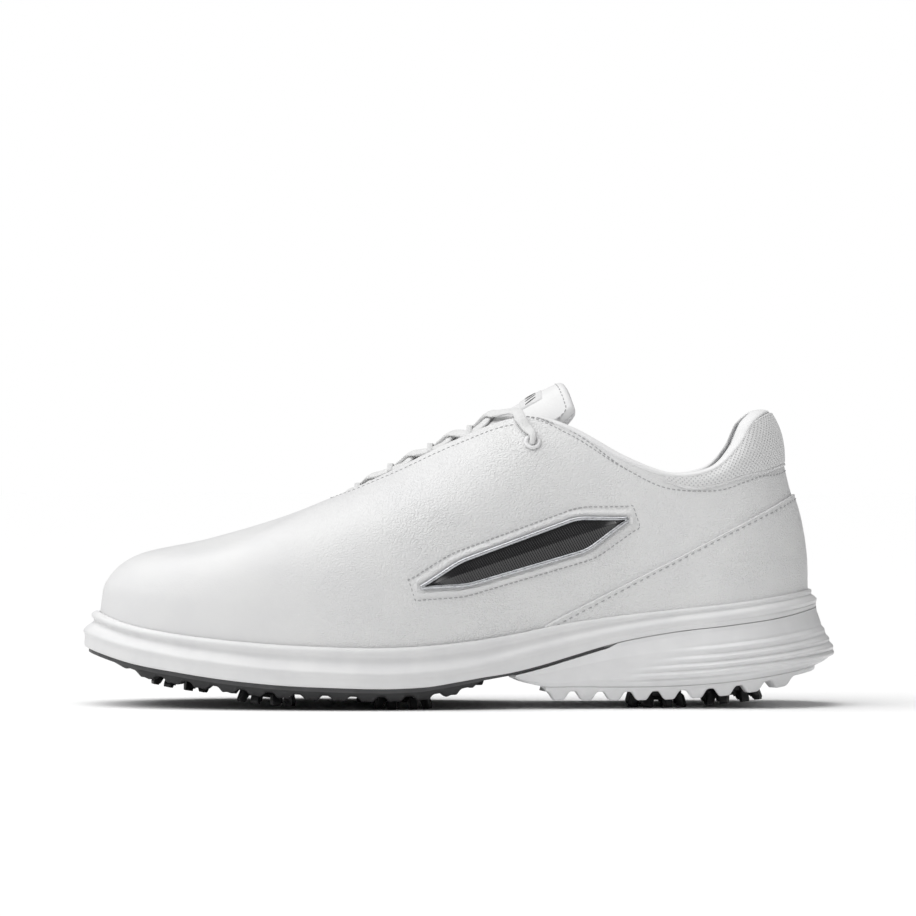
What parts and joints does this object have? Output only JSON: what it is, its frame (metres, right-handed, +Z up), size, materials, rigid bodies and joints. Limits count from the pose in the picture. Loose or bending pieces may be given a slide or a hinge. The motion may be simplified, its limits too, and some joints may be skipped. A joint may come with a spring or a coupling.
{
  "type": "golf shoe",
  "caption": "Laced low-cut left golf shoe with padded collar, heel wedge, plated outsole and twist-lock soft cleats in moulded receptacles.",
  "frame": {"origin": "on the ground under the middle of the shoe's overall length and width", "axes": "+X from toe to heel, +Z up from the ground, -Y towards the outer (lateral) side of this left shoe"},
  "size_m": [0.3039, 0.107, 0.1314],
  "materials": {
    "white_leather": "fine pebble grain, semi-matt",
    "white_midsole": "matt moulded",
    "white_tpu": "satin moulded",
    "grey_tpu": "satin moulded",
    "black_tpu": "satin moulded",
    "black_gloss": "gloss",
    "silver_rim": "metallised, satin",
    "socket_nylon": "matt moulded",
    "shank_composite": "matt",
    "board_felt": "needled felt",
    "insole_foam": "closed-cell foam",
    "insole_cloth": "knit",
    "collar_mesh": "perforated",
    "padding_foam": "open-cell foam",
    "lining_textile": "knit",
    "stiffener_board": "matt",
    "lace_cord": "braided",
    "loop_webbing": "woven",
    "label": "woven"
  },
  "bodies": {
    "shoe": {"midsole": "white_midsole", "heel_wedge": "white_midsole", "heel_outsole": "white_tpu", "outsole_plate": "grey_tpu", "forefoot_lugs": "black_tpu", "shank_plate": "shank_composite", "strobel_board": "board_felt", "sockliner_foam": "insole_foam", "sockliner_cloth": "insole_cloth", "vamp_and_lateral_quarter": "white_leather", "medial_quarter": "white_leather", "heel_foxing": "white_leather", "collar_mesh": "collar_mesh", "collar_foam": "padding_foam", "collar_roll": "lining_textile", "lining": "lining_textile", "heel_counter": "stiffener_board", "toe_puff": "stiffener_board", "eyestay_lateral": "loop_webbing", "eyestay_medial": "loop_webbing", "eyelet_rings": "white_tpu", "lace_loops": "loop_webbing", "emblem_bezel": "silver_rim", "emblem_inlay": "black_gloss", "lace": "lace_cord", "aglets": "white_tpu", "socket_toe": "socket_nylon", "socket_front_lateral": "socket_nylon", "socket_front_medial": "socket_nylon", "socket_ball_lateral": "socket_nylon", "socket_ball_medial": "socket_nylon", "socket_heel_lateral": "socket_nylon", "socket_heel_medial": "socket_nylon", "socket_rear_lateral": "socket_nylon", "socket_rear_medial": "socket_nylon"},
    "tongue": {"tongue_shell": "white_leather", "tongue_foam": "padding_foam", "tongue_lining": "lining_textile", "tongue_label": "label"},
    "cleat_toe_body": {"cleat_toe": "black_tpu"},
    "cleat_front_lateral_body": {"cleat_front_lateral": "black_tpu"},
    "cleat_front_medial_body": {"cleat_front_medial": "black_tpu"},
    "cleat_ball_lateral_body": {"cleat_ball_lateral": "black_tpu"},
    "cleat_ball_medial_body": {"cleat_ball_medial": "black_tpu"},
    "cleat_heel_lateral_body": {"cleat_heel_lateral": "black_tpu"},
    "cleat_heel_medial_body": {"cleat_heel_medial": "black_tpu"},
    "cleat_rear_lateral_body": {"cleat_rear_lateral": "black_tpu"},
    "cleat_rear_medial_body": {"cleat_rear_medial": "black_tpu"}
  },
  "joints": [
    {"name": "tongue_hinge", "type": "hinge", "parent": "shoe", "child": "tongue", "pos_m": [-0.048, 0, 0.079], "axis": [0, 1, 0], "range_deg": [0, 8]},
    {"name": "cleat_toe_twist", "type": "hinge", "parent": "shoe", "child": "cleat_toe_body", "pos_m": [-0.112, 0.005, 0.0135], "axis": [0.165, 0, 0.9863], "range_deg": [0, 60]},
    {"name": "cleat_front_lateral_twist", "type": "hinge", "parent": "shoe", "child": "cleat_front_lateral_body", "pos_m": [-0.076, -0.029, 0.009], "axis": [0.0872, 0, 0.9962], "range_deg": [0, 60]},
    {"name": "cleat_front_medial_twist", "type": "hinge", "parent": "shoe", "child": "cleat_front_medial_body", "pos_m": [-0.082, 0.029, 0.0094], "axis": [0.0958, 0, 0.9954], "range_deg": [0, 60]},
    {"name": "cleat_ball_lateral_twist", "type": "hinge", "parent": "shoe", "child": "cleat_ball_lateral_body", "pos_m": [-0.022, -0.029, 0.007], "axis": [0, 0, 1], "range_deg": [0, 60]},
    {"name": "cleat_ball_medial_twist", "type": "hinge", "parent": "shoe", "child": "cleat_ball_medial_body", "pos_m": [-0.03, 0.026, 0.007], "axis": [0, 0, 1], "range_deg": [0, 60]},
    {"name": "cleat_heel_lateral_twist", "type": "hinge", "parent": "shoe", "child": "cleat_heel_lateral_body", "pos_m": [0.08, -0.0155, 0.007], "axis": [0, 0, 1], "range_deg": [0, 60]},
    {"name": "cleat_heel_medial_twist", "type": "hinge", "parent": "shoe", "child": "cleat_heel_medial_body", "pos_m": [0.08, 0.0155, 0.007], "axis": [0, 0, 1], "range_deg": [0, 60]},
    {"name": "cleat_rear_lateral_twist", "type": "hinge", "parent": "shoe", "child": "cleat_rear_lateral_body", "pos_m": [0.11, -0.0135, 0.0089], "axis": [-0.1045, 0, 0.9945], "range_deg": [0, 60]},
    {"name": "cleat_rear_medial_twist", "type": "hinge", "parent": "shoe", "child": "cleat_rear_medial_body", "pos_m": [0.11, 0.0135, 0.0089], "axis": [-0.1045, 0, 0.9945], "range_deg": [0, 60]}
  ]
}
